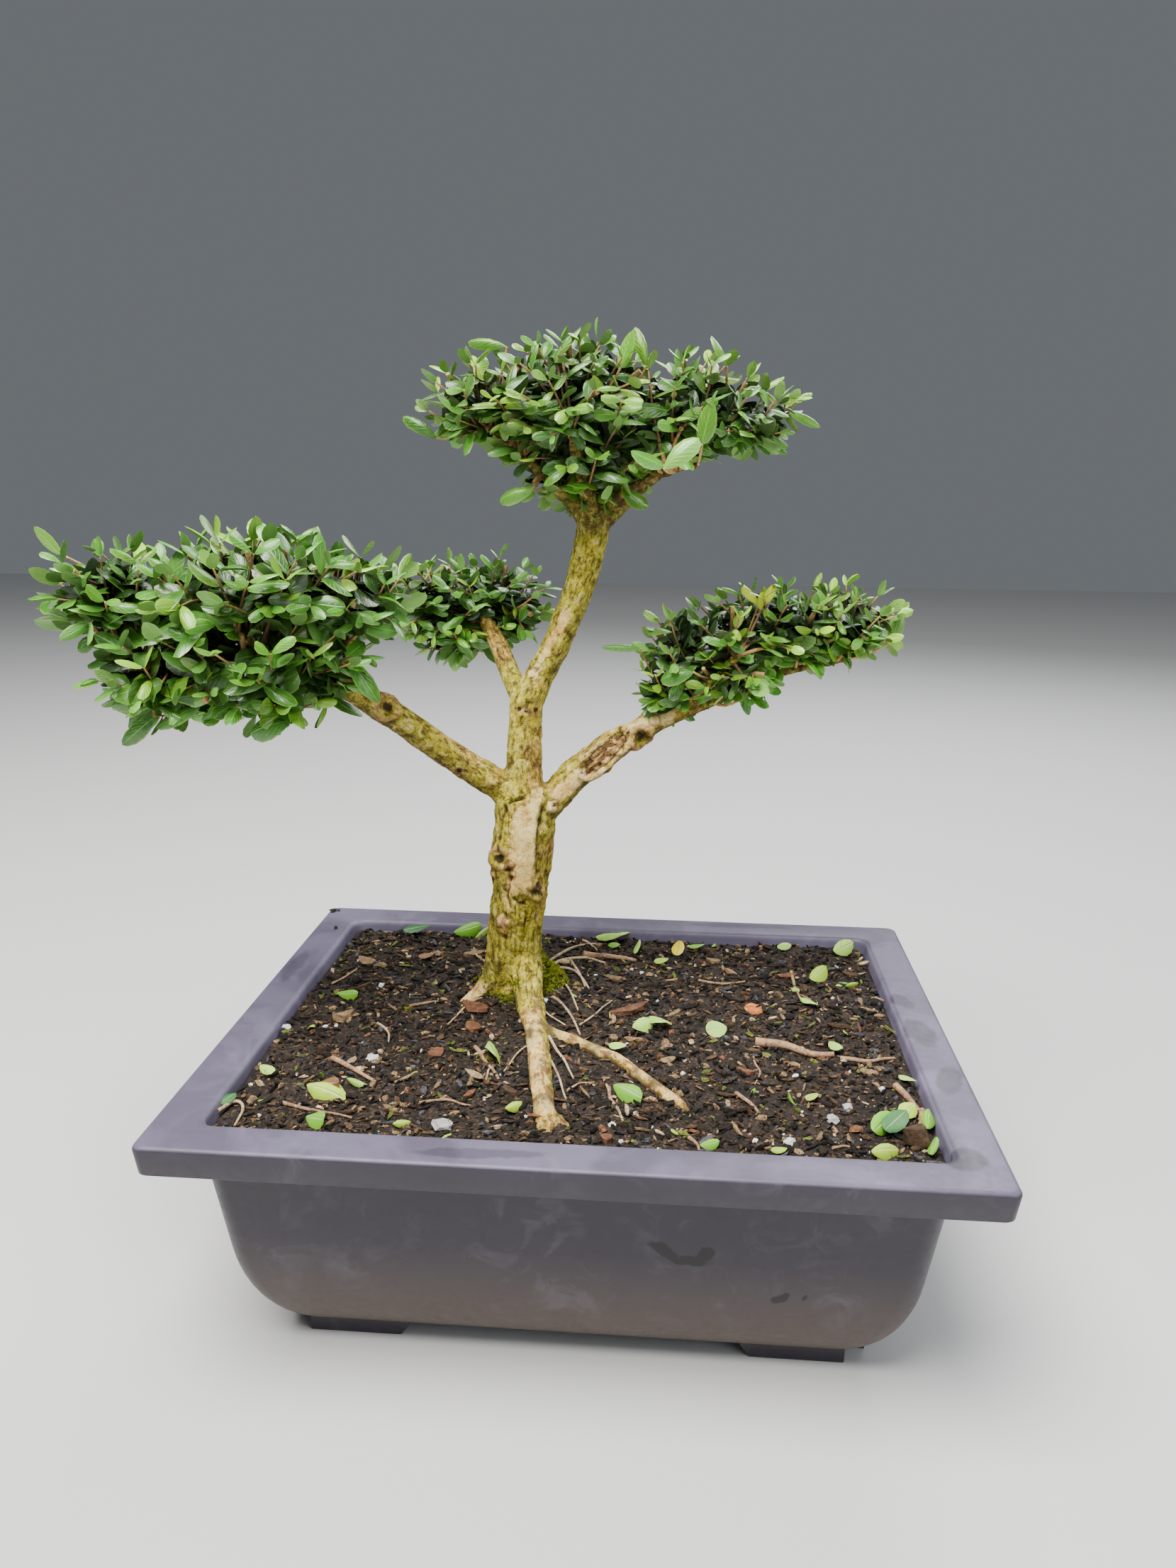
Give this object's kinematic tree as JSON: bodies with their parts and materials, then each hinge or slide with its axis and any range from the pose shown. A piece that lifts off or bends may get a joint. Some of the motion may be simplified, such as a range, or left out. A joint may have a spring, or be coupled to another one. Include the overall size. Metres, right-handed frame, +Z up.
{
  "type": "honeysuckle bonsai",
  "caption": "Clipped miniature honeysuckle tree with a pale fluted trunk, spreading limbs, leafy pads and exposed surface roots, growing in soil in a footed rectangular plastic pot.",
  "frame": {"origin": "under the middle of the bounding box, on the surface that the pot stands on", "axes": "+X to the right along the pot's long side as seen from the front, +Y to the back across the pot, +Z up"},
  "size_m": [0.3702, 0.246, 0.3909],
  "materials": {
    "pot_plastic": "purple-grey moulded plastic, half matt, with dried water marks",
    "soil": "loose dark bark and peat mix with grit",
    "bark": "pale flaking bark with a yellow-green film low down",
    "leaves": "small glossy green leaves on brown twigs"
  },
  "bodies": {
    "root": {"pot": "pot_plastic", "soil": "soil", "wood": "bark", "foliage_top": "leaves", "foliage_left": "leaves", "foliage_back": "leaves", "foliage_right": "leaves"}
  },
  "joints": []
}
